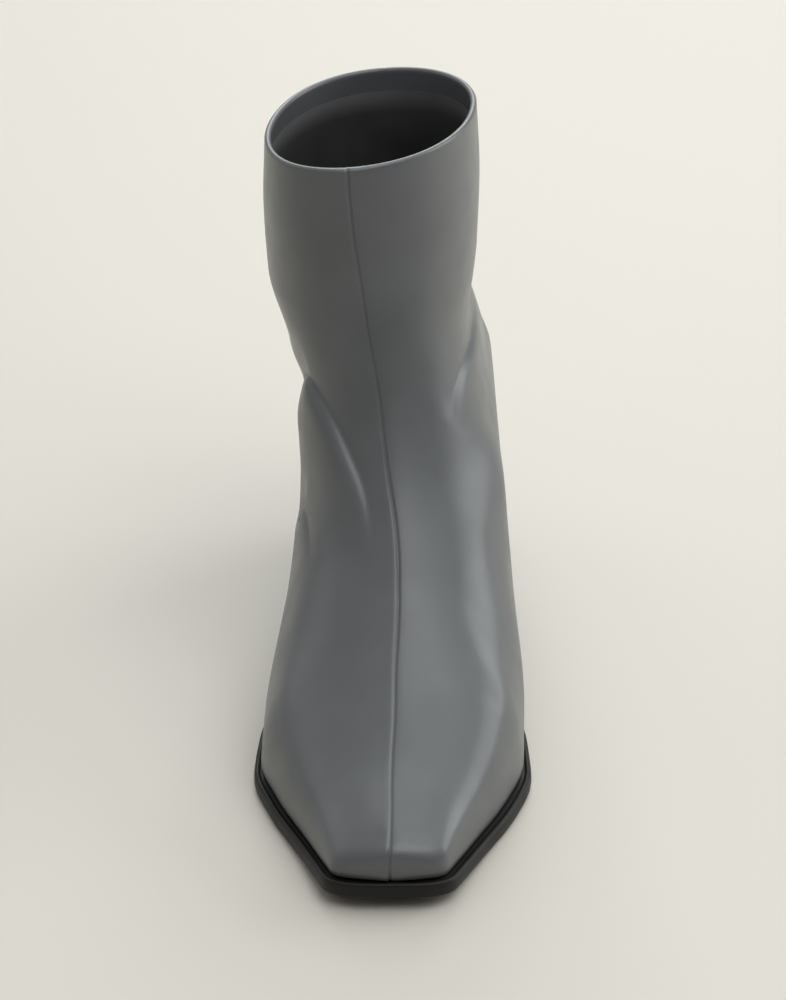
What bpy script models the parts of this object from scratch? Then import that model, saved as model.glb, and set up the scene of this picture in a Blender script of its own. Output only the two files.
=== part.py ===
"""Square-toe ankle boot for the right foot: upper, insole, sole and heel as separate solids.

Sizes are in millimetres until a mesh is made. A point is (x, along, height): x grows towards the
inner side of the foot, along runs back from the toe edge of the sole, height is over the floor.
"""

from collections import namedtuple

import bmesh
import bpy
import numpy as np

MM = 0.001

# Driving sizes of the last
LENGTH = 254.0
TOE_SPRING = 5.0
TREAD_FRONT = 58.0
TREAD_BACK = 98.0
SEAT_HEIGHT = 51.5
SEAT_START = 246.0

# Thicknesses and clearances
SOLE_THICKNESS = 5.5
WALL = 2.2
INSOLE_THICKNESS = 2.6
INSOLE_CLEARANCE = 0.8
GAP = 0.35

# Centre-front seam: a groove whose outer side lies a little proud
SEAM_DEPTH = 0.8
SEAM_LIP = 0.3
SEAM_STEPS = (0.0, 1.2, 3.0)

# Mesh density: columns from the front seam to the back seam, rings from the sole to the collar
FRONT_STEPS = SEAM_STEPS + (6.5, 10.0, 12.5, 15.0, 17.5, 21.0, 26.0, 33.0)
REAR_COLUMNS = 22
RINGS = 27
RING_SAMPLES = 400
FRONT_CROWDING = 1.15
SHARP_ANGLE = 40.0

# Rounding of the outline at the heel and of the toe's corners
HEEL_RADIUS = 34.0
CORNER_POWER = 3.6
LEG_POWER = 2.15

# Outline of the upper where it meets the sole: half-widths on each side, how far the wall swells
# past them higher up, and how full the section is on each side
Plan = namedtuple(
    "Plan",
    "along lateral medial lateral_swell medial_swell lateral_fullness medial_fullness",
)
PLAN = (
    Plan(0, 16.4, 15.9, 0.0, 0.0, 3.4, 5.5),
    Plan(28, 26.9, 26.3, 0.0, 0.0, 3.1, 5.0),
    Plan(56, 38.6, 37.1, 0.0, -0.4, 2.9, 4.6),
    Plan(76, 44.6, 42.1, -1.0, -1.2, 2.8, 4.0),
    Plan(95, 44.8, 41.5, -1.3, 0.9, 2.5, 2.7),
    Plan(130, 37.5, 34.0, 1.8, 6.5, 2.0, 2.0),
    Plan(165, 31.5, 29.5, 3.0, 8.0, 2.0, 2.0),
    Plan(210, 30.5, 30.0, 3.0, 2.5, 2.0, 2.0),
    Plan(254, 30.0, 30.0, 2.0, 2.0, 2.0, 2.0),
)

# Rings of the upper from the sole up to the collar. Each runs from a point on the front seam to one
# on the back seam. follow is how closely it follows the sole's curve, leg how far its section is
# the leg's oval instead of the foot's, tilt its climb towards the inner side, and corner the
# length of the toe's corner.
Level = namedtuple(
    "Level",
    "front_along front_height back_along back_height follow "
    "lateral medial seam_x middle_x back_x leg tilt corner",
)
LEVELS = (
    Level(3.2, 10.35, 250.5, 51.9, 1.00, 31, 31, 0.0, 0.0, 0.0, 0.0, 0.0, 7),
    Level(2.8, 15.0, 252.0, 55.5, 0.95, 31, 31, 0.0, 0.0, 0.0, 0.0, 0.0, 7),
    Level(4.0, 19.5, 253.2, 60.0, 0.85, 31, 31, 0.0, 0.0, 0.0, 0.0, 0.0, 6.5),
    Level(9.5, 23.1, 254.0, 65.5, 0.74, 31, 31, 0.0, 0.0, 0.0, 0.0, 0.0, 5),
    Level(39.0, 33.0, 254.0, 72.5, 0.55, 31, 31, 0.0, 0.0, 0.0, 0.0, 0.0, 1),
    Level(69.0, 48.5, 253.6, 80.5, 0.36, 33, 32, 0.5, 0.0, 0.0, 0.1, 0.0, 0),
    Level(96.0, 68.5, 252.5, 90.0, 0.20, 33, 33, 1.0, 0.0, 0.0, 0.3, 0.0, 0),
    Level(117.0, 91.5, 250.0, 101.0, 0.08, 32, 31, -2.5, -2.5, -2.0, 0.6, 0.0, 0),
    Level(131.0, 116.5, 247.0, 115.0, 0.00, 32.0, 30.0, -6.0, -6.5, -3.5, 0.9, 0.03, 0),
    Level(138.5, 142.5, 245.0, 133.0, 0.00, 35, 34.5, -10.0, -10.0, -5.5, 1.0, 0.06, 0),
    Level(142.5, 167.5, 244.5, 156.0, 0.00, 35, 36, -13.5, -9.5, -6.0, 1.0, 0.07, 0),
    Level(145.0, 190.5, 246.0, 179.5, 0.00, 34, 35, -15.0, -8.5, -6.0, 1.0, 0.07, 0),
)

# Width of the sole past the upper's lower edge
Ledge = namedtuple("Ledge", "along lateral medial")
LEDGES = (
    Ledge(0, 2.7, 2.5),
    Ledge(35, 2.6, 2.7),
    Ledge(58, 2.8, 3.1),
    Ledge(80, 2.2, 2.0),
    Ledge(105, 1.0, 0.8),
    Ledge(150, 0.8, -0.8),
    Ledge(190, 0.8, 0.2),
    Ledge(254, 1.0, 1.0),
)

# Side of the sole from its top edge down: drop, and how far in from the widest line
Edge = namedtuple("Edge", "drop inset")
SOLE_SIDE = (
    Edge(0.0, 1.2),
    Edge(0.5, 0.5),
    Edge(1.6, 0.1),
    Edge(3.6, 0.0),
    Edge(5.0, 0.3),
    Edge(5.5, 1.0),
)
INSOLE_SIDE = (Edge(0.0, 0.6), Edge(0.5, 0.0), Edge(INSOLE_THICKNESS, 0.0))

# Sections of the heel from the seat, share 0, to the floor, share 1
Section = namedtuple("Section", "share breast back half_width")
HEEL = (
    Section(0.00, 189.0, 250.4, 29.6),
    Section(0.15, 190.6, 249.2, 28.4),
    Section(0.45, 193.0, 247.4, 27.0),
    Section(0.97, 196.0, 246.0, 26.0),
    Section(1.00, 196.6, 245.4, 25.4),
)
HEEL_BACK_LENGTH = 30.0
HEEL_POWER = 2.5
HEEL_SIDE_STEPS = (0.0, 0.34, 0.67)
HEEL_BACK_STEPS = 10

# Looks of the pieces
Finish = namedtuple("Finish", "color roughness")
FINISHES = {
    "upper": Finish((0.125, 0.130, 0.132), 0.42),
    "insole": Finish((0.050, 0.048, 0.046), 0.70),
    "sole": Finish((0.016, 0.016, 0.015), 0.55),
    "heel": Finish((0.016, 0.016, 0.015), 0.45),
}


def column(table, name):
    """One named column of a table."""
    return np.array([getattr(row, name) for row in table], float)


def smooth_through(places, values, at):
    """Curve through the values at the places, with no overshoot between them."""
    step = np.diff(places)
    slope = np.diff(values) / step
    tangent = np.concatenate([slope[:1], np.zeros(len(step) - 1), slope[-1:]])
    for i in range(1, len(step)):
        if slope[i - 1] * slope[i] > 0:
            before = 2 * step[i] + step[i - 1]
            after = step[i] + 2 * step[i - 1]
            tangent[i] = (before + after) / (before / slope[i - 1] + after / slope[i])
    i = np.clip(np.searchsorted(places, at) - 1, 0, len(step) - 1)
    t = np.clip((at - places[i]) / step[i], 0, 1)
    start = values[i] * (1 + 2 * t) + tangent[i] * step[i] * t
    end = values[i + 1] * (3 - 2 * t) + tangent[i + 1] * step[i] * (t - 1)
    return start * (1 - t) ** 2 + end * t**2


def table_value(table, key, name, at):
    """A named column of a table, read smoothly along its key column."""
    return smooth_through(column(table, key), column(table, name), at)


def sole_top(along):
    """Height of the sole's upper face: toe spring, flat tread, then the rise to the seat."""
    toe = np.clip(1 - along / TREAD_FRONT, 0, 1)
    rise = np.clip((along - TREAD_BACK) / (SEAT_START - TREAD_BACK), 0, 1)
    climb = rise**2 * (3 - 2 * rise)
    return SOLE_THICKNESS + TOE_SPRING * toe**2 + (SEAT_HEIGHT - SOLE_THICKNESS) * climb


def front_line(along):
    """Height of the front seam over the foot. Past the collar's front it climbs out of reach."""
    places = column(LEVELS, "front_along")[1:]
    heights = column(LEVELS, "front_height")[1:]
    out_of_reach = 12.0
    past = np.maximum(along - places[-1], 0)
    return smooth_through(places, heights, np.minimum(along, places[-1])) + out_of_reach * past


def level_at(position):
    """The ring at a position between the rows of LEVELS, as a row of its own."""
    rows = np.arange(len(LEVELS))
    values = [smooth_through(rows, column(LEVELS, name), position) for name in Level._fields]
    return Level(*[float(value) for value in values])


def foot_half_width(along, height, level, side):
    """Half-width of the foot's section at a height: round at the heel, square at the toe."""
    floor = sole_top(along)
    share = np.clip((height - floor) / np.maximum(front_line(along) - floor, 1e-6), 0, 1)
    fullness = table_value(PLAN, "along", side + "_fullness", along)
    swell = table_value(PLAN, "along", side + "_swell", along) * 4 * share * (1 - share)
    width = table_value(PLAN, "along", side, along) * np.sqrt(1 - share**fullness) + swell
    past_round = np.clip((along - level.back_along) / HEEL_RADIUS + 1, 0, 1)
    width *= np.sqrt(1 - past_round**2)
    if level.corner > 0:
        before_corner = np.clip(1 - (along - level.front_along) / level.corner, 0, 1)
        width *= (1 - before_corner**CORNER_POWER) ** (1 / CORNER_POWER)
    return width


def leg_half_width(share, level, side):
    """Half-width of the leg's oval, share 0 at the front seam and 1 at the back seam."""
    return getattr(level, side) * (1 - np.abs(2 * share - 1) ** LEG_POWER) ** (1 / LEG_POWER)


def half_ring(position, side):
    """Close points of one side of a ring, from the front seam to the back seam."""
    level = level_at(position)
    turn = np.linspace(0, np.pi, RING_SAMPLES)
    share = ((1 - np.cos(turn)) / 2) ** FRONT_CROWDING
    along = level.front_along + (level.back_along - level.front_along) * share
    straight = level.front_height + (level.back_height - level.front_height) * share
    front_rise = level.front_height - sole_top(level.front_along)
    back_rise = level.back_height - sole_top(level.back_along)
    curved = sole_top(along) + front_rise + (back_rise - front_rise) * share
    height = np.maximum(straight + (curved - straight) * level.follow, sole_top(along) + GAP)
    foot = foot_half_width(along, height, level, side)
    width = foot + (leg_half_width(share, level, side) - foot) * level.leg
    width[0] = 0
    width[-1] = 0
    middle = level.seam_x * (1 - share) ** 2
    middle += 2 * level.middle_x * share * (1 - share) + level.back_x * share**2
    outwards = 1 if side == "medial" else -1
    tilted = height + level.tilt * outwards * width
    return np.stack([middle + outwards * width, along, tilted], axis=1)


def placed_columns(points):
    """Points of a half ring at the mesh's columns: fixed steps by the seam, then even to the back."""
    lengths = np.linalg.norm(np.diff(points, axis=0), axis=1)
    travelled = np.concatenate([[0], np.cumsum(lengths)])
    rest = np.sin(np.linspace(0, np.pi / 2, REAR_COLUMNS + 1)[1:])
    evened = (rest + np.linspace(0, 1, REAR_COLUMNS + 1)[1:]) / 2
    at = np.concatenate([FRONT_STEPS, FRONT_STEPS[-1] + (travelled[-1] - FRONT_STEPS[-1]) * evened])
    return np.stack([np.interp(at, travelled, points[:, i]) for i in range(3)], axis=1)


def ring(position):
    """A whole ring: the outer side from front to back, then the inner side from back to front."""
    lateral = placed_columns(half_ring(position, "lateral"))
    medial = placed_columns(half_ring(position, "medial"))
    return np.concatenate([lateral, medial[-2:0:-1]])


def outward_normals(grid):
    """Normals of a grid of rings, which closes on itself along each ring."""
    round_ring = np.roll(grid, -1, axis=1) - np.roll(grid, 1, axis=1)
    up_wall = np.gradient(grid, axis=0)
    normals = np.cross(up_wall, round_ring)
    return normals / np.linalg.norm(normals, axis=2, keepdims=True)


def upper_grid():
    """Outer face of the upper, with the front seam let into it."""
    grid = np.array([ring(position) for position in np.linspace(0, len(LEVELS) - 1, RINGS)])
    normals = outward_normals(grid)
    lateral_lip = 1
    grid[:, lateral_lip] += normals[:, lateral_lip] * SEAM_LIP
    grid[:, 0] -= normals[:, 0] * SEAM_DEPTH
    return grid


def grown_outline(outline, growth):
    """An outline in plan, moved outwards by its own growth at each point."""
    tangent = np.roll(outline, -1, axis=0) - np.roll(outline, 1, axis=0)
    normal = np.stack([tangent[:, 1], -tangent[:, 0]], axis=1)
    normal /= np.linalg.norm(normal, axis=1, keepdims=True)
    return outline - normal * np.reshape(growth, (-1, 1))


def sole_outline():
    """Widest line of the sole in plan: the upper's lower edge and the ledge round it."""
    edge = ring(0)[:, :2]
    lateral = table_value(LEDGES, "along", "lateral", edge[:, 1])
    medial = table_value(LEDGES, "along", "medial", edge[:, 1])
    return grown_outline(edge, np.where(edge[:, 0] < 0, lateral, medial))


def plate_rings(outline, side, top):
    """Rings of a plate whose upper face lies at a height over the sole's curve."""
    rings = []
    for edge in side:
        inset = grown_outline(outline, np.full(len(outline), -edge.inset))
        height = sole_top(inset[:, 1]) + top - edge.drop
        rings.append(np.column_stack([inset, height]))
    return np.array(rings)


def heel_outline(section):
    """Outline of the heel in plan: straight breast, long sides and a round back."""
    start = section.back - HEEL_BACK_LENGTH
    side_along = section.breast + (start - section.breast) * np.array(HEEL_SIDE_STEPS)
    turn = np.linspace(0, np.pi / 2, HEEL_BACK_STEPS)
    back_along = start + HEEL_BACK_LENGTH * np.sin(turn) ** (2 / HEEL_POWER)
    back_width = section.half_width * np.clip(np.cos(turn), 0, 1) ** (2 / HEEL_POWER)
    along = np.concatenate([side_along, back_along])
    width = np.concatenate([np.full(len(side_along), section.half_width), back_width])
    lateral = np.column_stack([-width, along])
    medial = np.column_stack([width, along])
    return np.concatenate([[[0.0, section.breast]], lateral, medial[-2::-1]])


def heel_rings():
    """Rings of the heel from the underside of the sole down to the floor."""
    rings = []
    for section in HEEL:
        outline = heel_outline(section)
        seat = sole_top(outline[:, 1]) - SOLE_THICKNESS - GAP
        rings.append(np.column_stack([outline, seat * (1 - section.share)]))
    return np.array(rings)


def material_for(name):
    finish = FINISHES[name]
    material = bpy.data.materials.new(name)
    material.use_nodes = True
    shader = material.node_tree.nodes["Principled BSDF"]
    shader.inputs["Base Color"].default_value = (*finish.color, 1)
    shader.inputs["Roughness"].default_value = finish.roughness
    shader.inputs["Metallic"].default_value = 0
    return material


def lofted(name, rings, capped, parent, collection):
    """An object whose rings are joined in order. A cap joins the two sides of its ring across."""
    mesh = bpy.data.meshes.new(name)
    shape = bmesh.new()
    rows = [[shape.verts.new(point * MM) for point in row] for row in rings]
    count = len(rows[0])
    for lower, upper in zip(rows, rows[1:]):
        for i in range(count):
            after = (i + 1) % count
            shape.faces.new((lower[i], lower[after], upper[after], upper[i]))
    if capped:
        for row in (rows[0], rows[-1]):
            for i in range(count // 2):
                across = (row[i], row[i + 1], row[-i - 1], row[-i] if i else row[0])
                shape.faces.new(dict.fromkeys(across))
    bmesh.ops.recalc_face_normals(shape, faces=shape.faces)
    shape.to_mesh(mesh)
    shape.free()
    mesh.shade_smooth()
    mesh.set_sharp_from_angle(angle=np.radians(SHARP_ANGLE))
    mesh.materials.append(material_for(name))
    piece = bpy.data.objects.new(name, mesh)
    piece.parent = parent
    collection.objects.link(piece)
    return piece


def main():
    for old in list(bpy.data.objects):
        bpy.data.objects.remove(old)
    collection = bpy.data.collections.new("square_toe_ankle_boot")
    bpy.context.scene.collection.children.link(collection)

    outline = sole_outline()
    centre_x = (outline[:, 0].min() + outline[:, 0].max()) / 2
    boot = bpy.data.objects.new("boot", None)
    boot.location = (-centre_x * MM, -LENGTH / 2 * MM, 0)
    collection.objects.link(boot)

    outer_face = upper_grid()
    upper = lofted("upper", outer_face, False, boot, collection)
    shell = upper.modifiers.new("wall", "SOLIDIFY")
    shell.thickness = WALL * MM
    shell.offset = -1
    shell.use_even_offset = True

    board = grown_outline(outer_face[0, :, :2], np.full(len(outline), -WALL - INSOLE_CLEARANCE))
    insole = plate_rings(board, INSOLE_SIDE, GAP + INSOLE_THICKNESS)
    lofted("insole", insole, True, boot, collection)

    lofted("sole", plate_rings(outline, SOLE_SIDE, 0), True, boot, collection)
    lofted("heel", heel_rings(), True, boot, collection)


main()
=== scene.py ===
"""Looks of the square-toe ankle boot: creased leather upper, lining, insole, sole and heel.

Sizes are in millimetres until a mesh is made. A point is (x, along, height), as in the part: x grows
towards the inner side of the foot, along runs back from the toe edge of the sole, height is over
the floor.
"""

from collections import namedtuple
from math import cos, radians, sin

import bpy
import numpy as np
from mathutils import Euler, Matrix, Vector, noise
from mathutils.kdtree import KDTree


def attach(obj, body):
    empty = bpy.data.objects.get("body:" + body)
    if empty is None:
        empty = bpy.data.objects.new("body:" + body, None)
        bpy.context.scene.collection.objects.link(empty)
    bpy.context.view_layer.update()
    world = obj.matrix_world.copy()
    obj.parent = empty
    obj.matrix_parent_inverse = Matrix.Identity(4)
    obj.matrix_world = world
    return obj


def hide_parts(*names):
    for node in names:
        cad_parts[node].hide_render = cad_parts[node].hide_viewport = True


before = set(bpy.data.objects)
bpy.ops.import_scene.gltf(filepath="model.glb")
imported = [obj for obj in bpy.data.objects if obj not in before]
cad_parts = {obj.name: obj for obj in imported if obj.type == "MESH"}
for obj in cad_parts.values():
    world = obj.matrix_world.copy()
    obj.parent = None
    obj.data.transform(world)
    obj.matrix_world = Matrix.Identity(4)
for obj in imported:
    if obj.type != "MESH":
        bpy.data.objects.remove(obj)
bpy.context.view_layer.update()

MM = 0.001

# Driving sizes of the last, as in the part
LENGTH = 254.0
TOE_SPRING = 5.0
TREAD_FRONT = 58.0
TREAD_BACK = 98.0
SEAT_HEIGHT = 51.5
SEAT_START = 246.0
SOLE_THICKNESS = 5.5
WALL = 2.2
INSOLE_THICKNESS = 2.6
INSOLE_CLEARANCE = 0.8
GAP = 0.35
HEEL_RADIUS = 34.0
CORNER_POWER = 3.6
LEG_POWER = 2.15
RING_SAMPLES = 400
FRONT_CROWDING = 1.15

# Outline of the upper where it meets the sole: half-widths on each side, how far the wall swells
# past them higher up, and how full the section is on each side
Plan = namedtuple(
    "Plan",
    "along lateral medial lateral_swell medial_swell lateral_fullness medial_fullness",
)
PLAN = (
    Plan(0, 16.4, 15.9, 0.0, 0.0, 3.4, 5.5),
    Plan(28, 26.9, 26.3, 0.0, 0.0, 3.1, 5.0),
    Plan(56, 38.6, 37.1, 0.0, -0.4, 2.9, 4.6),
    Plan(76, 44.6, 42.1, -1.0, -1.2, 2.8, 4.0),
    Plan(95, 44.8, 41.5, -1.3, 0.9, 2.5, 2.7),
    Plan(130, 37.5, 34.0, 1.8, 6.5, 2.0, 2.0),
    Plan(165, 31.5, 29.5, 3.0, 8.0, 2.0, 2.0),
    Plan(210, 30.5, 30.0, 3.0, 2.5, 2.0, 2.0),
    Plan(254, 30.0, 30.0, 2.0, 2.0, 2.0, 2.0),
)

# Rings of the upper from the sole up to the collar. Each runs from a point on the front seam to one
# on the back seam. follow is how closely it follows the sole's curve, leg how far its section is
# the leg's oval instead of the foot's, tilt its climb towards the inner side, and corner the
# length of the toe's corner.
Level = namedtuple(
    "Level",
    "front_along front_height back_along back_height follow "
    "lateral medial seam_x middle_x back_x leg tilt corner",
)
LEVELS = (
    Level(3.2, 10.35, 250.5, 51.9, 1.00, 31, 31, 0.0, 0.0, 0.0, 0.0, 0.0, 7),
    Level(2.8, 15.0, 252.0, 55.5, 0.95, 31, 31, 0.0, 0.0, 0.0, 0.0, 0.0, 7),
    Level(4.0, 19.5, 253.2, 60.0, 0.85, 31, 31, 0.0, 0.0, 0.0, 0.0, 0.0, 6.5),
    Level(9.5, 23.1, 254.0, 65.5, 0.74, 31, 31, 0.0, 0.0, 0.0, 0.0, 0.0, 5),
    Level(39.0, 33.0, 254.0, 72.5, 0.55, 31, 31, 0.0, 0.0, 0.0, 0.0, 0.0, 1),
    Level(69.0, 48.5, 253.6, 80.5, 0.36, 33, 32, 0.5, 0.0, 0.0, 0.1, 0.0, 0),
    Level(96.0, 68.5, 252.5, 90.0, 0.20, 33, 33, 1.0, 0.0, 0.0, 0.3, 0.0, 0),
    Level(117.0, 91.5, 250.0, 101.0, 0.08, 32, 31, -2.5, -2.5, -2.0, 0.6, 0.0, 0),
    Level(131.0, 116.5, 247.0, 115.0, 0.00, 32.0, 30.0, -6.0, -6.5, -3.5, 0.9, 0.03, 0),
    Level(138.5, 142.5, 245.0, 133.0, 0.00, 35, 34.5, -10.0, -10.0, -5.5, 1.0, 0.06, 0),
    Level(142.5, 167.5, 244.5, 156.0, 0.00, 35, 36, -13.5, -9.5, -6.0, 1.0, 0.07, 0),
    Level(145.0, 190.5, 246.0, 179.5, 0.00, 34, 35, -15.0, -8.5, -6.0, 1.0, 0.07, 0),
)

# Width of the sole past the upper's lower edge
Ledge = namedtuple("Ledge", "along lateral medial")
LEDGES = (
    Ledge(0, 2.7, 2.5),
    Ledge(35, 2.6, 2.7),
    Ledge(58, 2.8, 3.1),
    Ledge(80, 2.2, 2.0),
    Ledge(105, 1.0, 0.8),
    Ledge(150, 0.8, -0.8),
    Ledge(190, 0.8, 0.2),
    Ledge(254, 1.0, 1.0),
)

# Side of a plate from its top edge down: drop, and how far in from the widest line
Edge = namedtuple("Edge", "drop inset")
SOLE_SIDE = (
    Edge(0.45, 2.70),
    Edge(0.60, 2.20),
    Edge(0.38, 1.85),
    Edge(0.10, 1.50),
    Edge(0.00, 1.15),
    Edge(0.12, 0.72),
    Edge(0.45, 0.35),
    Edge(1.00, 0.12),
    Edge(2.00, 0.00),
    Edge(3.40, 0.00),
    Edge(4.40, 0.10),
    Edge(5.00, 0.35),
    Edge(5.35, 0.80),
    Edge(5.50, 1.40),
)
INSOLE_SIDE = (
    Edge(0.00, 1.40),
    Edge(0.08, 0.80),
    Edge(0.35, 0.30),
    Edge(0.80, 0.05),
    Edge(1.60, 0.00),
    Edge(INSOLE_THICKNESS, 0.00),
)
FOOTBED_DISH = 0.5

# Sections of the heel from the seat, share 0, to the floor, share 1
Section = namedtuple("Section", "share breast back half_width")
HEEL = (
    Section(0.00, 189.0, 250.4, 29.6),
    Section(0.15, 190.6, 249.2, 28.4),
    Section(0.45, 193.0, 247.4, 27.0),
    Section(0.97, 196.0, 246.0, 26.0),
    Section(1.00, 196.6, 245.4, 25.4),
)
HEEL_BACK_LENGTH = 30.0
HEEL_POWER = 2.5
HEEL_RINGS = 40
HEEL_SIDE_COLUMNS = 14
HEEL_BACK_COLUMNS = 24
BREAST_COLUMNS = 14
HEEL_CORNER = 1.6
HEEL_CORNER_STEPS = 6
HEEL_LOW_EDGE = 0.97
HEEL_ROUNDED_SHARES = (0.98, 0.99, 0.997, 1.0)

# Mesh density of the upper
RINGS_BY_LEVEL = (12, 14, 14, 16, 20, 26, 34, 38, 22, 12, 12)
SEAM_COLUMNS = np.arange(0, 3.0, 0.3)
SHOULDER_COLUMNS = np.arange(3.0, 12.0, 0.9)
CORNER_COLUMNS = np.arange(12.0, 60.0, 1.0)
SIDE_COLUMNS = 58
BACK_COLUMNS = np.array([6.0, 4.6, 3.5, 2.6, 1.9, 1.3, 0.8, 0.4, 0.0])
INNER_RING_STEP = 4
LINING_COLUMN_STEP = 2
PLATE_COLUMNS = 24

# Layers of the wall, the edge folded over at the collar, and how far the lining reaches under it
LEATHER = 1.3
LINING_OUTER = 1.4
LINING_INNER = 2.15
FOLD = 7.0
LINING_OVERLAP = 1.0
RIM_STEPS = 7

# The lower edge rolls in and down onto the sole
ROLL_HEIGHT = 2.6
ROLL_DEPTH = 0.9

# Rise of the leather across the front seam: the two panels meet in a low keel, and the outer one laps
# over the inner one
Rise = namedtuple("Rise", "reach rise")
FRONT_SEAM = (
    Rise(-16.0, 0.00),
    Rise(-11.0, 0.18),
    Rise(-6.0, 0.55),
    Rise(-3.5, 0.80),
    Rise(-1.6, 1.05),
    Rise(-0.9, 1.10),
    Rise(-0.5, 1.02),
    Rise(-0.2, 0.70),
    Rise(0.1, 0.36),
    Rise(0.4, 0.46),
    Rise(0.7, 0.74),
    Rise(1.1, 0.88),
    Rise(2.0, 0.86),
    Rise(4.0, 0.70),
    Rise(7.0, 0.42),
    Rise(11.0, 0.15),
    Rise(16.0, 0.00),
)
SEAM_WANDER = 0.15
SEAM_WAVE = 52.0
BACK_SEAM_DEPTH = 0.4
BACK_SEAM_WIDTH = 0.7

# Creases by side: lift at the crest, negative for a trough, half width, and the path as points of
# level, the position among LEVELS, and reach, the distance from the front seam round the ring
Crease = namedtuple("Crease", "side lift width path")
CREASES = (
    # Hollows along the two folds at the outer side of the ankle
    Crease(
        "lateral", -2.4, 8.0,
        ((6.6, 95), (6.9, 80), (7.25, 62), (7.6, 46), (7.85, 36), (7.95, 30)),
    ),
    Crease("lateral", -1.8, 7.0, ((5.0, 92), (5.4, 79), (5.75, 67), (5.95, 59), (6.0, 54))),
    # Hollow over the fold at the inner side
    Crease("medial", -1.6, 6.0, ((7.9, 112), (8.05, 96), (8.1, 82), (8.08, 68), (8.0, 56))),
    # Small crease over the inner side of the ball
    Crease("medial", 0.25, 2.6, ((4.85, 28), (4.6, 38), (4.2, 50))),
    Crease("medial", -0.2, 3.0, ((4.6, 26), (4.35, 37), (3.95, 48))),
)

# Folds: the leather above the line dips into a valley and the leather below it rises into a roll.
# above and below are the reach of the valley's two walls, spread the reach of the roll, and path as
# for a crease.
Fold = namedtuple("Fold", "side depth lift above below spread path")
OUTER_FOLD_FRONT = (
    (7.6, 46), (7.85, 36), (7.9, 31), (7.78, 25), (7.6, 19.5),
    (7.4, 15.5), (7.15, 12), (6.95, 9.5), (6.65, 8), (6.2, 8),
)
FOLDS = (
    # The shaft meets the outer side of the ankle: a soft roll from the back, with a sharp step in front
    Fold(
        "lateral", depth=0.8, lift=2.2, above=9.0, below=7.0, spread=14.0,
        path=((6.6, 95), (6.9, 80), (7.25, 62)) + OUTER_FOLD_FRONT,
    ),
    Fold(
        "lateral", depth=0.6, lift=1.35, above=6.0, below=1.7, spread=7.0,
        path=((7.48, 51),) + OUTER_FOLD_FRONT,
    ),
    # The outer side of the ankle meets the vamp
    Fold(
        "lateral", depth=0.4, lift=1.0, above=7.0, below=4.5, spread=12.0,
        path=((5.0, 92), (5.4, 79), (5.75, 67), (5.93, 57), (5.9, 51), (5.78, 46), (5.6, 41.5)),
    ),
    # The shaft meets the inner side of the ankle
    Fold(
        "medial", depth=1.0, lift=1.3, above=6.0, below=2.4, spread=9.0,
        path=(
            (7.75, 96), (7.8, 80), (7.85, 66), (7.87, 54), (7.86, 45),
            (7.82, 38), (7.74, 32.5), (7.6, 28.5), (7.4, 26),
        ),
    ),
)
FOLD_ROUND = 0.6

# Spacing of the points of a crease, and how far down the rings the way below it is read
PATH_POINTS = 40
PATH_STEP = 0.2
LEVELS_BELOW = 0.1

# Unevenness of the leather
SURFACE_WAVES = 0.22
SURFACE_WAVE_LENGTH = 26.0

# Camera of the photograph and the point that the picture centres on
CAMERA = (54.24, -1327.5, 912.9)
CAMERA_PITCH = 28.0
AIM = (-0.6, 104.1, 90.8)
LENS = 183.0
SENSOR = 36.0

# Soft square lights: the way to each, as degrees round from the toe towards the inner side and degrees
# over the floor, its size in metres, and its power
Light = namedtuple("Light", "name turn climb size power")
LIGHTS = (
    Light("front_high", 30, 66, 1.2, 9.5),
    Light("front_right", 50, 50, 1.2, 3.0),
    Light("right_low", 113, 23, 1.15, 14.0),
    Light("right_high", 95, 62, 1.2, 4.5),
    Light("back", 180, 32, 1.0, 12.0),
    Light("back_high", 180, 62, 1.2, 6.0),
    Light("back_left", 245, 30, 1.0, 1.5),
)
LIGHT_DISTANCE = 1.9
LIGHT_COLOR = (0.955, 0.985, 1.0)
LIGHT_AIM = (0.0, 0.0, 0.08)

# Light of the room: the way to its bright side, the cosine of the turn from it at which the dark side
# starts, and the strength on the dark side and the bright one
WORLD_COLOR = (0.98, 0.985, 1.0, 1.0)
WORLD_BRIGHT_SIDE = (-0.42, 0.38, 0.82)
WORLD_DARK_LIMIT = -0.50
WORLD_DARK = 0.05
WORLD_BRIGHT = 0.52

# Half the floor's width in metres
FLOOR_HALF = 6.0


def column(table, name):
    """One named column of a table."""
    return np.array([getattr(row, name) for row in table], float)


def smooth_through(places, values, at):
    """Curve through the values at the places, with no overshoot between them."""
    step = np.diff(places)
    slope = np.diff(values) / step
    tangent = np.concatenate([slope[:1], np.zeros(len(step) - 1), slope[-1:]])
    for i in range(1, len(step)):
        if slope[i - 1] * slope[i] > 0:
            before = 2 * step[i] + step[i - 1]
            after = step[i] + 2 * step[i - 1]
            tangent[i] = (before + after) / (before / slope[i - 1] + after / slope[i])
    i = np.clip(np.searchsorted(places, at) - 1, 0, len(step) - 1)
    t = np.clip((at - places[i]) / step[i], 0, 1)
    start = values[i] * (1 + 2 * t) + tangent[i] * step[i] * t
    end = values[i + 1] * (3 - 2 * t) + tangent[i + 1] * step[i] * (t - 1)
    return start * (1 - t) ** 2 + end * t**2


def table_value(table, key, name, at):
    """A named column of a table, read smoothly along its key column."""
    return smooth_through(column(table, key), column(table, name), at)


def sole_top(along):
    """Height of the sole's upper face: toe spring, flat tread, then the rise to the seat."""
    toe = np.clip(1 - along / TREAD_FRONT, 0, 1)
    rise = np.clip((along - TREAD_BACK) / (SEAT_START - TREAD_BACK), 0, 1)
    climb = rise**2 * (3 - 2 * rise)
    return SOLE_THICKNESS + TOE_SPRING * toe**2 + (SEAT_HEIGHT - SOLE_THICKNESS) * climb


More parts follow.
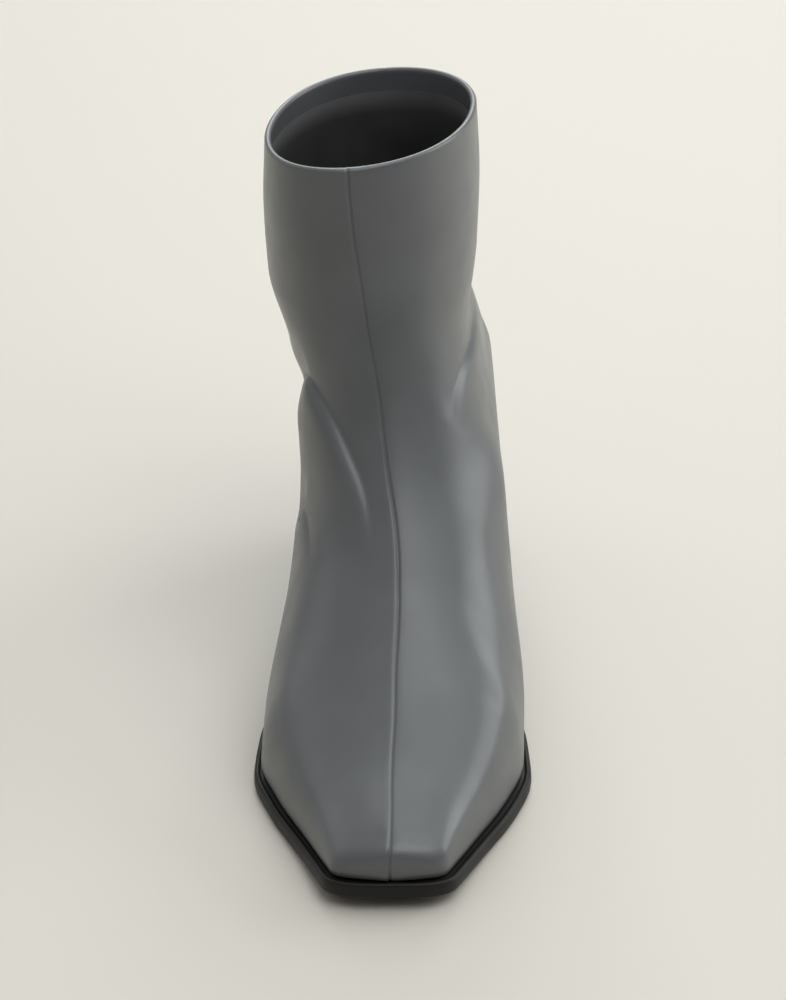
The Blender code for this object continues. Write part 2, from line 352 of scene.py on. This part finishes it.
def front_line(along):
    """Height of the front seam over the foot. Past the collar's front it climbs out of reach."""
    places = column(LEVELS, "front_along")[1:]
    heights = column(LEVELS, "front_height")[1:]
    out_of_reach = 12.0
    past = np.maximum(along - places[-1], 0)
    return smooth_through(places, heights, np.minimum(along, places[-1])) + out_of_reach * past


def level_at(position):
    """The ring at a position between the rows of LEVELS, as a row of its own."""
    rows = np.arange(len(LEVELS))
    values = [smooth_through(rows, column(LEVELS, name), position) for name in Level._fields]
    return Level(*[float(value) for value in values])


def foot_half_width(along, height, level, side):
    """Half-width of the foot's section at a height: round at the heel, square at the toe."""
    floor = sole_top(along)
    share = np.clip((height - floor) / np.maximum(front_line(along) - floor, 1e-6), 0, 1)
    fullness = table_value(PLAN, "along", side + "_fullness", along)
    swell = table_value(PLAN, "along", side + "_swell", along) * 4 * share * (1 - share)
    width = table_value(PLAN, "along", side, along) * np.sqrt(1 - share**fullness) + swell
    past_round = np.clip((along - level.back_along) / HEEL_RADIUS + 1, 0, 1)
    width *= np.sqrt(1 - past_round**2)
    if level.corner > 0:
        before_corner = np.clip(1 - (along - level.front_along) / level.corner, 0, 1)
        width *= (1 - before_corner**CORNER_POWER) ** (1 / CORNER_POWER)
    return width


def leg_half_width(share, level, side):
    """Half-width of the leg's oval, share 0 at the front seam and 1 at the back seam."""
    return getattr(level, side) * (1 - np.abs(2 * share - 1) ** LEG_POWER) ** (1 / LEG_POWER)


def half_ring(position, side):
    """Close points of one side of a ring, from the front seam to the back seam."""
    level = level_at(position)
    turn = np.linspace(0, np.pi, RING_SAMPLES)
    share = ((1 - np.cos(turn)) / 2) ** FRONT_CROWDING
    along = level.front_along + (level.back_along - level.front_along) * share
    straight = level.front_height + (level.back_height - level.front_height) * share
    front_rise = level.front_height - sole_top(level.front_along)
    back_rise = level.back_height - sole_top(level.back_along)
    curved = sole_top(along) + front_rise + (back_rise - front_rise) * share
    height = np.maximum(straight + (curved - straight) * level.follow, sole_top(along) + GAP)
    foot = foot_half_width(along, height, level, side)
    width = foot + (leg_half_width(share, level, side) - foot) * level.leg
    width[0] = 0
    width[-1] = 0
    middle = level.seam_x * (1 - share) ** 2
    middle += 2 * level.middle_x * share * (1 - share) + level.back_x * share**2
    outwards = 1 if side == "medial" else -1
    tilted = height + level.tilt * outwards * width
    return np.stack([middle + outwards * width, along, tilted], axis=1)


def travelled(points):
    """Distance from the first point to each point of a line."""
    return np.concatenate([[0], np.cumsum(np.linalg.norm(np.diff(points, axis=0), axis=1))])


def points_at(points, distances):
    """Points of a line at distances from its first point."""
    places = travelled(points)
    return np.stack([np.interp(distances, places, points[:, i]) for i in range(3)], axis=1)


def placed_columns(points):
    """Points of a half ring at the mesh's columns, and the reach of each from the front seam."""
    total = travelled(points)[-1]
    front = np.concatenate([SEAM_COLUMNS, SHOULDER_COLUMNS, CORNER_COLUMNS])
    back = total - BACK_COLUMNS
    between = np.linspace(front[-1], back[0], SIDE_COLUMNS + 1)[1:-1]
    reach = np.concatenate([front, between, back])
    return points_at(points, reach), reach


def ring(position):
    """A whole ring, outer side from front to back and inner side from back to front: its points, the
    reach of each from the front seam, negative on the outer side, and its distance to the back seam."""
    lateral, lateral_reach = placed_columns(half_ring(position, "lateral"))
    medial, medial_reach = placed_columns(half_ring(position, "medial"))
    points = np.concatenate([lateral, medial[-2:0:-1]])
    back_to_front = medial_reach[-2:0:-1]
    reach = np.concatenate([-lateral_reach, back_to_front])
    to_back = np.concatenate([lateral_reach[-1] - lateral_reach, medial_reach[-1] - back_to_front])
    return points, reach, to_back


def outward_normals(grid):
    """Normals of a grid of rings, which closes on itself along each ring."""
    round_ring = np.roll(grid, -1, axis=1) - np.roll(grid, 1, axis=1)
    up_wall = np.gradient(grid, axis=0)
    normals = np.cross(up_wall, round_ring)
    return normals / np.linalg.norm(normals, axis=2, keepdims=True)


def crease_path(side, path):
    """Close points of a crease on the bare last, and the direction to below it at each."""
    levels = np.array([point[0] for point in path])
    reaches = np.array([point[1] for point in path], float)
    places = np.arange(len(levels), dtype=float)
    at = np.linspace(0, places[-1], PATH_POINTS)
    points = []
    lower = []
    for level, reach in zip(smooth_through(places, levels, at), smooth_through(places, reaches, at)):
        points.append(points_at(half_ring(level, side), [reach])[0])
        lower.append(points_at(half_ring(level - LEVELS_BELOW, side), [reach])[0])
    points = np.array(points)
    tangent = np.gradient(points, axis=0)
    tangent /= np.linalg.norm(tangent, axis=1, keepdims=True)
    below = np.array(lower) - points
    below -= tangent * (below * tangent).sum(axis=1, keepdims=True)
    close = np.arange(0, travelled(points)[-1], PATH_STEP)
    below_close = np.stack([np.interp(close, travelled(points), below[:, i]) for i in range(3)], axis=1)
    return points_at(points, close), below_close


def from_path(grid, side, path):
    """Distance of each point from a crease, positive below it, and its share of the way along."""
    points, below = crease_path(side, path)
    tree = KDTree(len(points))
    for i, point in enumerate(points):
        tree.insert(point, i)
    tree.balance()
    distance = []
    share = []
    for point in grid.reshape(-1, 3):
        _, nearest, gap = tree.find(point)
        is_below = (point - points[nearest]) @ below[nearest] > 0
        distance.append(gap if is_below else -gap)
        share.append(nearest / (len(points) - 1))
    return np.reshape(distance, grid.shape[:2]), np.reshape(share, grid.shape[:2])


def fade(share):
    """Strength along a crease: full in its middle, none at its ends."""
    return np.sin(np.pi * np.clip(share, 0, 1))


def crease_rise(grid, crease):
    """Rise of a crease over a grid: a soft ridge, or a trough where it is negative."""
    distance, share = from_path(grid, crease.side, crease.path)
    return crease.lift * fade(share) * np.exp(-((distance / crease.width) ** 2))


def fold_rise(grid, fold):
    """Rise of a fold over a grid: a valley along the line and a roll below it."""
    distance, share = from_path(grid, fold.side, fold.path)
    off_line = np.sqrt(distance**2 + FOLD_ROUND**2) - FOLD_ROUND
    is_below = distance > 0
    valley = fold.depth * np.exp(-off_line / np.where(is_below, fold.below, fold.above))
    roll = fold.lift * (1 - np.exp(-off_line / fold.below)) * np.exp(-((off_line / fold.spread) ** 2))
    return fade(share) * (np.where(is_below, roll, 0) - valley)


def wave_rise(grid):
    """Gentle unevenness of the leather over the last."""
    flat = grid.reshape(-1, 3) / SURFACE_WAVE_LENGTH
    rise = [noise.noise(Vector(point)) for point in flat]
    return np.reshape(rise, grid.shape[:2]) * SURFACE_WAVES


def upper_faces():
    """Outer face of the upper with its seams, creases and rolled lower edge, and the same face without
    the seams, on which the inside is built."""
    steps = [np.arange(count) / count + row for row, count in enumerate(RINGS_BY_LEVEL)]
    positions = np.concatenate([*steps, [len(RINGS_BY_LEVEL)]])
    rings = [ring(position) for position in positions]
    grid = np.array([points for points, _, _ in rings])
    reach = np.array([reach for _, reach, _ in rings])
    to_back = np.array([to_back for _, _, to_back in rings])
    normals = outward_normals(grid)
    wander = SEAM_WANDER * np.sin(2 * np.pi * (grid[:, :, 2] + grid[:, :, 1]) / SEAM_WAVE)
    seams = table_value(FRONT_SEAM, "reach", "rise", reach + wander)
    seams -= BACK_SEAM_DEPTH * np.exp(-((to_back / BACK_SEAM_WIDTH) ** 2))
    rise = wave_rise(grid)
    for crease in CREASES:
        rise += crease_rise(grid, crease)
    for fold in FOLDS:
        rise += fold_rise(grid, fold)
    climbs = np.linalg.norm(np.diff(grid, axis=0), axis=2)
    climb = np.concatenate([np.zeros((1, grid.shape[1])), np.cumsum(climbs, axis=0)])
    roll = np.clip(1 - climb / ROLL_HEIGHT, 0, 1)
    rise -= ROLL_DEPTH * roll**2
    plain = grid + normals * rise[:, :, None]
    plain[:, :, 2] -= GAP * roll
    return plain + normals * seams[:, :, None], plain


def collar_rim(face, inside):
    """Rings of the rounded edge at the collar, over to the inside's last ring. The face's last ring is
    let down to start it."""
    radius = WALL / 2
    up_wall = face[-1] - face[-2]
    up_wall /= np.linalg.norm(up_wall, axis=1, keepdims=True)
    top = face[-1].copy()
    face[-1] -= up_wall * radius
    rings = []
    for turn in np.linspace(0, np.pi, RIM_STEPS + 2)[1:]:
        lift = radius * (np.sin(turn) - 1)
        across = (1 - np.cos(turn)) / 2
        rings.append(top + (inside[-1] - top) * across + up_wall * lift)
    return np.array(rings)


def grown_outline(outline, growth):
    """An outline in plan, moved outwards by its own growth at each point."""
    tangent = np.roll(outline, -1, axis=0) - np.roll(outline, 1, axis=0)
    normal = np.stack([tangent[:, 1], -tangent[:, 0]], axis=1)
    normal /= np.linalg.norm(normal, axis=1, keepdims=True)
    return outline - normal * np.reshape(growth, (-1, 1))


def sole_outline():
    """Widest line of the sole in plan: the upper's lower edge and the ledge round it."""
    edge = ring(0)[0][:, :2]
    lateral = table_value(LEDGES, "along", "lateral", edge[:, 1])
    medial = table_value(LEDGES, "along", "medial", edge[:, 1])
    return grown_outline(edge, np.where(edge[:, 0] < 0, lateral, medial))


def plate_rings(outline, side, top):
    """Rings of a plate whose upper face lies at a height over the sole's curve."""
    rings = []
    for edge in side:
        inset = grown_outline(outline, np.full(len(outline), -edge.inset))
        height = sole_top(inset[:, 1]) + top - edge.drop
        rings.append(np.column_stack([inset, height]))
    return np.array(rings)


def heel_outline(section):
    """Outline of the heel in plan: straight breast with rounded corners, long sides, round back."""
    start = section.back - HEEL_BACK_LENGTH
    breast = np.linspace(0, section.half_width - HEEL_CORNER, BREAST_COLUMNS)
    turn = np.linspace(0, np.pi / 2, HEEL_CORNER_STEPS)[1:]
    corner_width = section.half_width - HEEL_CORNER * (1 - np.sin(turn))
    corner_along = section.breast + HEEL_CORNER * (1 - np.cos(turn))
    side_along = np.linspace(corner_along[-1], start, HEEL_SIDE_COLUMNS)[1:]
    turn = np.linspace(0, np.pi / 2, HEEL_BACK_COLUMNS)[1:]
    back_along = start + HEEL_BACK_LENGTH * np.sin(turn) ** (2 / HEEL_POWER)
    back_width = section.half_width * np.clip(np.cos(turn), 0, 1) ** (2 / HEEL_POWER)
    breast_along = np.full(len(breast), section.breast)
    side_width = np.full(len(side_along), section.half_width)
    along = np.concatenate([breast_along, corner_along, side_along, back_along])
    width = np.concatenate([breast, corner_width, side_width, back_width])
    lateral = np.column_stack([-width, along])
    medial = np.column_stack([width, along])
    return np.concatenate([lateral, medial[-2:0:-1]])


def heel_rings():
    """Rings of the heel from the underside of the sole down to the floor."""
    shares = np.concatenate([np.linspace(0, HEEL_LOW_EDGE, HEEL_RINGS), HEEL_ROUNDED_SHARES])
    rings = []
    for share in shares:
        values = [table_value(HEEL, "share", name, share) for name in Section._fields[1:]]
        outline = heel_outline(Section(share, *values))
        seat = sole_top(outline[:, 1]) - SOLE_THICKNESS
        rings.append(np.column_stack([outline, seat * (1 - share)]))
    return np.array(rings)


CENTRE_X = (sole_outline()[:, 0].min() + sole_outline()[:, 0].max()) / 2


def placed(points):
    """Points of the shoe in the part's frame, in metres."""
    return (np.asarray(points, float) - (CENTRE_X, LENGTH / 2, 0)) * MM


def ring_faces(ring_count, count, joined):
    """Faces between rings in order, and from the last ring to the first if they are joined."""
    faces = []
    last = ring_count if joined else ring_count - 1
    for row in range(last):
        lower = row * count
        upper = (row + 1) % ring_count * count
        for i in range(count):
            after = (i + 1) % count
            faces.append((lower + i, upper + i, upper + after, lower + after))
    return faces


def new_piece(name, points, faces, material, node):
    """A smooth mesh that stands for a node of the part."""
    mesh = bpy.data.meshes.new(name)
    mesh.from_pydata(placed(points).tolist(), [], faces)
    mesh.shade_smooth()
    mesh.materials.append(material)
    piece = bpy.data.objects.new(name, mesh)
    bpy.context.scene.collection.objects.link(piece)
    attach(piece, "root")
    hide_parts(node)
    return piece


def tube(name, rings, material, node):
    """A closed shell whose last ring joins its first."""
    rings = np.array(rings)
    faces = ring_faces(len(rings), rings.shape[1], True)
    return new_piece(name, rings.reshape(-1, 3), faces, material, node)


def strips_across(edge, offset, columns, dish, facing_up):
    """Points and faces of a plate's face, strung across between the two halves of its edge."""
    count = len(edge)
    half = count // 2
    across = np.linspace(0, 1, columns + 1)
    points = []
    rows = [[0] * (columns + 1)]
    for i in range(1, half):
        left = edge[i]
        right = edge[count - i]
        row = [i]
        for share in across[1:-1]:
            point = left + (right - left) * share
            point[2] -= dish * np.sin(np.pi * share) ** 2
            row.append(offset + len(points))
            points.append(point)
        row.append(count - i)
        rows.append(row)
    rows.append([half] * (columns + 1))
    faces = []
    for first, second in zip(rows, rows[1:]):
        for i in range(columns):
            corners = (first[i], second[i], second[i + 1], first[i + 1])
            face = tuple(dict.fromkeys(corners))
            if len(face) > 2:
                faces.append(face[::-1] if facing_up else face)
    return points, faces


def plate(name, rings, columns, dish, material, node):
    """A closed plate from its side rings, listed from the top down, and its two faces."""
    count = rings.shape[1]
    points = list(rings.reshape(-1, 3))
    faces = [face[::-1] for face in ring_faces(len(rings), count, False)]
    top_points, top_faces = strips_across(rings[0], len(points), columns, dish, True)
    points += top_points
    faces += top_faces
    low = (len(rings) - 1) * count
    low_points, low_faces = strips_across(rings[-1], len(points) - low, columns, 0, False)
    points += low_points
    faces += [tuple(corner + low for corner in face) for face in low_faces]
    return new_piece(name, np.array(points), faces, material, node)


class Nodes:
    """A material's nodes, placed in the order in which they are made."""

    def __init__(self, name):
        self.material = bpy.data.materials.new(name)
        self.material.use_nodes = True
        self.tree = self.material.node_tree
        self.shader = self.tree.nodes["Principled BSDF"]
        self.place = self.add("ShaderNodeTexCoord").outputs["Object"]

    def add(self, kind, **settings):
        """A new node of a kind, with its settings."""
        node = self.tree.nodes.new(kind)
        for name, value in settings.items():
            setattr(node, name, value)
        return node

    def join(self, output, socket):
        """A link from one node to another."""
        self.tree.links.new(output, socket)

    def noise(self, per_metre, detail, roughness=0.5):
        """Cloudy pattern with so many lumps to a metre."""
        node = self.add("ShaderNodeTexNoise")
        node.inputs["Scale"].default_value = per_metre
        node.inputs["Detail"].default_value = detail
        node.inputs["Roughness"].default_value = roughness
        self.join(self.place, node.inputs["Vector"])
        return node.outputs["Fac"]

    def cells(self, per_metre):
        """Pebbled pattern: distance from the borders of cells."""
        node = self.add("ShaderNodeTexVoronoi", feature="DISTANCE_TO_EDGE")
        node.inputs["Scale"].default_value = per_metre
        self.join(self.place, node.inputs["Vector"])
        return node.outputs["Distance"]

    def ranged(self, value, low, high, to_low, to_high):
        """A pattern's values between low and high, stretched to another range."""
        node = self.add("ShaderNodeMapRange")
        node.inputs["From Min"].default_value = low
        node.inputs["From Max"].default_value = high
        node.inputs["To Min"].default_value = to_low
        node.inputs["To Max"].default_value = to_high
        self.join(value, node.inputs["Value"])
        return node.outputs["Result"]

    def tinted(self, value, low, dark, high, light):
        """Colours between two by a pattern's value."""
        node = self.add("ShaderNodeValToRGB")
        node.color_ramp.elements[0].position = low
        node.color_ramp.elements[0].color = (*dark, 1)
        node.color_ramp.elements[1].position = high
        node.color_ramp.elements[1].color = (*light, 1)
        self.join(value, node.inputs["Fac"])
        return node.outputs["Color"]

    def relief(self, height, depth, strength, under=None):
        """Fine relief of a depth in millimetres, over another where one is given."""
        node = self.add("ShaderNodeBump")
        node.inputs["Distance"].default_value = depth * MM
        node.inputs["Strength"].default_value = strength
        self.join(height, node.inputs["Height"])
        if under is not None:
            self.join(under, node.inputs["Normal"])
        return node.outputs["Normal"]

    def set(self, **values):
        """Values that are the same all over the surface, on the shader's own sockets."""
        for name, value in values.items():
            self.shader.inputs[name.replace("_", " ").title()].default_value = value


def leather_material():
    """Dark grey calf leather: smooth, softly glossy, a faint grain and cloudy dye."""
    nodes = Nodes("leather")
    dye = nodes.noise(per_metre=38, detail=4, roughness=0.55)
    nodes.join(
        nodes.tinted(dye, low=0.35, dark=(0.103, 0.108, 0.110), high=0.68, light=(0.116, 0.122, 0.125)),
        nodes.shader.inputs["Base Color"],
    )
    polish = nodes.noise(per_metre=90, detail=3)
    nodes.join(
        nodes.ranged(polish, low=0.3, high=0.7, to_low=0.32, to_high=0.40),
        nodes.shader.inputs["Roughness"],
    )
    grain = nodes.relief(nodes.cells(per_metre=950), depth=0.12, strength=0.22)
    fine = nodes.noise(per_metre=2600, detail=3, roughness=0.6)
    pores = nodes.relief(fine, depth=0.08, strength=0.25, under=grain)
    nodes.join(pores, nodes.shader.inputs["Normal"])
    nodes.set(coat_weight=0.12, coat_roughness=0.20)
    return nodes.material


def lining_material():
    """Near-black lining leather, matt and finely napped."""
    nodes = Nodes("lining")
    cloud = nodes.noise(per_metre=70, detail=4)
    nodes.join(
        nodes.tinted(cloud, low=0.3, dark=(0.030, 0.029, 0.028), high=0.7, light=(0.043, 0.042, 0.040)),
        nodes.shader.inputs["Base Color"],
    )
    nodes.join(
        nodes.ranged(cloud, low=0.3, high=0.7, to_low=0.62, to_high=0.76),
        nodes.shader.inputs["Roughness"],
    )
    fine = nodes.noise(per_metre=2200, detail=4, roughness=0.7)
    nap = nodes.relief(fine, depth=0.15, strength=0.35)
    nodes.join(nap, nodes.shader.inputs["Normal"])
    return nodes.material


def insole_material():
    """Dark sock leather over the insole board, a little worn."""
    nodes = Nodes("insole")
    wear = nodes.noise(per_metre=45, detail=5, roughness=0.6)
    nodes.join(
        nodes.tinted(wear, low=0.3, dark=(0.040, 0.038, 0.036), high=0.7, light=(0.060, 0.057, 0.054)),
        nodes.shader.inputs["Base Color"],
    )
    nodes.join(
        nodes.ranged(wear, low=0.3, high=0.7, to_low=0.58, to_high=0.74),
        nodes.shader.inputs["Roughness"],
    )
    grain = nodes.relief(nodes.cells(per_metre=800), depth=0.15, strength=0.3)
    nodes.join(grain, nodes.shader.inputs["Normal"])
    return nodes.material


def rubber_material(name, smoothest, roughest):
    """Black moulded rubber with a satin face, its roughness between two values, and a fine stipple."""
    nodes = Nodes(name)
    cloud = nodes.noise(per_metre=60, detail=5, roughness=0.6)
    nodes.join(
        nodes.tinted(cloud, low=0.3, dark=(0.006, 0.006, 0.0055), high=0.72, light=(0.010, 0.010, 0.009)),
        nodes.shader.inputs["Base Color"],
    )
    nodes.join(
        nodes.ranged(cloud, low=0.3, high=0.7, to_low=smoothest, to_high=roughest),
        nodes.shader.inputs["Roughness"],
    )
    fine = nodes.noise(per_metre=1900, detail=2)
    stipple = nodes.relief(fine, depth=0.1, strength=0.2)
    nodes.join(stipple, nodes.shader.inputs["Normal"])
    nodes.shader.inputs["Specular IOR Level"].default_value = 0.3
    return nodes.material


def floor_material():
    """Pale warm floor with faint clouds."""
    nodes = Nodes("floor")
    cloud = nodes.noise(per_metre=2.5, detail=5, roughness=0.55)
    nodes.join(
        nodes.tinted(cloud, low=0.3, dark=(0.600, 0.566, 0.495), high=0.7, light=(0.626, 0.592, 0.52)),
        nodes.shader.inputs["Base Color"],
    )
    nodes.join(
        nodes.ranged(cloud, low=0.3, high=0.7, to_low=0.5, to_high=0.6),
        nodes.shader.inputs["Roughness"],
    )
    return nodes.material


def make_upper():
    """Leather shell with its folded collar, and the lining inside it."""
    face, plain = upper_faces()
    normals = outward_normals(plain)
    rim = collar_rim(face, plain - normals * WALL)
    from_collar = np.linalg.norm(face - rim[len(rim) // 2], axis=2)
    depth = np.where(from_collar < FOLD, WALL, LEATHER)[:, :, None]
    inner = (plain - normals * depth)[-2::-INNER_RING_STEP]
    tube("upper_leather", np.concatenate([face, rim, inner]), leather_material(), "upper")

    below_fold = from_collar.max(axis=1) > FOLD - LINING_OVERLAP
    rows = np.nonzero(below_fold)[0][::INNER_RING_STEP]
    wall = plain[rows][:, ::LINING_COLUMN_STEP]
    outwards = normals[rows][:, ::LINING_COLUMN_STEP]
    outer = wall - outwards * LINING_OUTER
    inner = wall - outwards * LINING_INNER
    tube("upper_lining", np.concatenate([outer, inner[::-1]]), lining_material(), "upper")


def make_plates():
    """Insole, sole and heel."""
    board = grown_outline(ring(0)[0][:, :2], -WALL - INSOLE_CLEARANCE)
    insole = plate_rings(board, INSOLE_SIDE, GAP + INSOLE_THICKNESS)
    plate("insole", insole, PLATE_COLUMNS, FOOTBED_DISH, insole_material(), "insole")
    sole = plate_rings(sole_outline(), SOLE_SIDE, 0)
    tread = rubber_material("sole", smoothest=0.46, roughest=0.58)
    plate("sole", sole, PLATE_COLUMNS, 0, tread, "sole")
    block = rubber_material("heel", smoothest=0.40, roughest=0.52)
    plate("heel", heel_rings(), PLATE_COLUMNS, 0, block, "heel")


def make_floor():
    """Plain floor under the boot."""
    mesh = bpy.data.meshes.new("floor")
    corners = [(x * FLOOR_HALF, y * FLOOR_HALF, 0) for x, y in ((-1, -1), (1, -1), (1, 1), (-1, 1))]
    mesh.from_pydata(corners, [], [(0, 1, 2, 3)])
    mesh.materials.append(floor_material())
    floor = bpy.data.objects.new("floor", mesh)
    bpy.context.scene.collection.objects.link(floor)


def make_lights():
    """Soft square lights round the boot."""
    for light in LIGHTS:
        data = bpy.data.lights.new(light.name, "AREA")
        data.size = light.size
        data.energy = light.power
        data.color = LIGHT_COLOR
        lamp = bpy.data.objects.new(light.name, data)
        level = LIGHT_DISTANCE * cos(radians(light.climb))
        turn = radians(light.turn)
        height = LIGHT_DISTANCE * sin(radians(light.climb))
        lamp.location = (level * sin(turn), -level * cos(turn), height)
        towards = Vector(LIGHT_AIM) - lamp.location
        lamp.rotation_euler = towards.to_track_quat("-Z", "Y").to_euler()
        bpy.context.scene.collection.objects.link(lamp)


def make_room():
    """Light of the room, brighter on one side."""
    world = bpy.data.worlds.new("studio")
    world.use_nodes = True
    nodes = world.node_tree.nodes
    links = world.node_tree.links
    way = nodes.new("ShaderNodeTexCoord")
    along_way = nodes.new("ShaderNodeVectorMath")
    along_way.operation = "DOT_PRODUCT"
    along_way.inputs[1].default_value = WORLD_BRIGHT_SIDE
    strength = nodes.new("ShaderNodeMapRange")
    strength.inputs["From Min"].default_value = WORLD_DARK_LIMIT
    strength.inputs["To Min"].default_value = WORLD_DARK
    strength.inputs["To Max"].default_value = WORLD_BRIGHT
    background = nodes["Background"]
    background.inputs["Color"].default_value = WORLD_COLOR
    links.new(way.outputs["Generated"], along_way.inputs[0])
    links.new(along_way.outputs["Value"], strength.inputs["Value"])
    links.new(strength.outputs["Result"], background.inputs["Strength"])
    bpy.context.scene.world = world


def make_camera():
    """Camera at the photograph's place, turned towards the boot alone."""
    data = bpy.data.cameras.new("camera")
    data.lens = LENS
    data.sensor_width = SENSOR
    camera = bpy.data.objects.new("camera", data)
    camera.location = placed(CAMERA)
    level_view = Euler((radians(90 - CAMERA_PITCH), 0, 0)).to_quaternion()
    ahead = level_view @ Vector((0, 0, -1))
    towards = Vector(placed(AIM)) - camera.location
    camera.rotation_mode = "QUATERNION"
    camera.rotation_quaternion = ahead.rotation_difference(towards) @ level_view
    bpy.context.scene.collection.objects.link(camera)
    bpy.context.scene.camera = camera


make_upper()
make_plates()
make_floor()
make_lights()
make_room()
make_camera()
bpy.context.scene.view_settings.view_transform = "Standard"

bpy.context.view_layer.update()
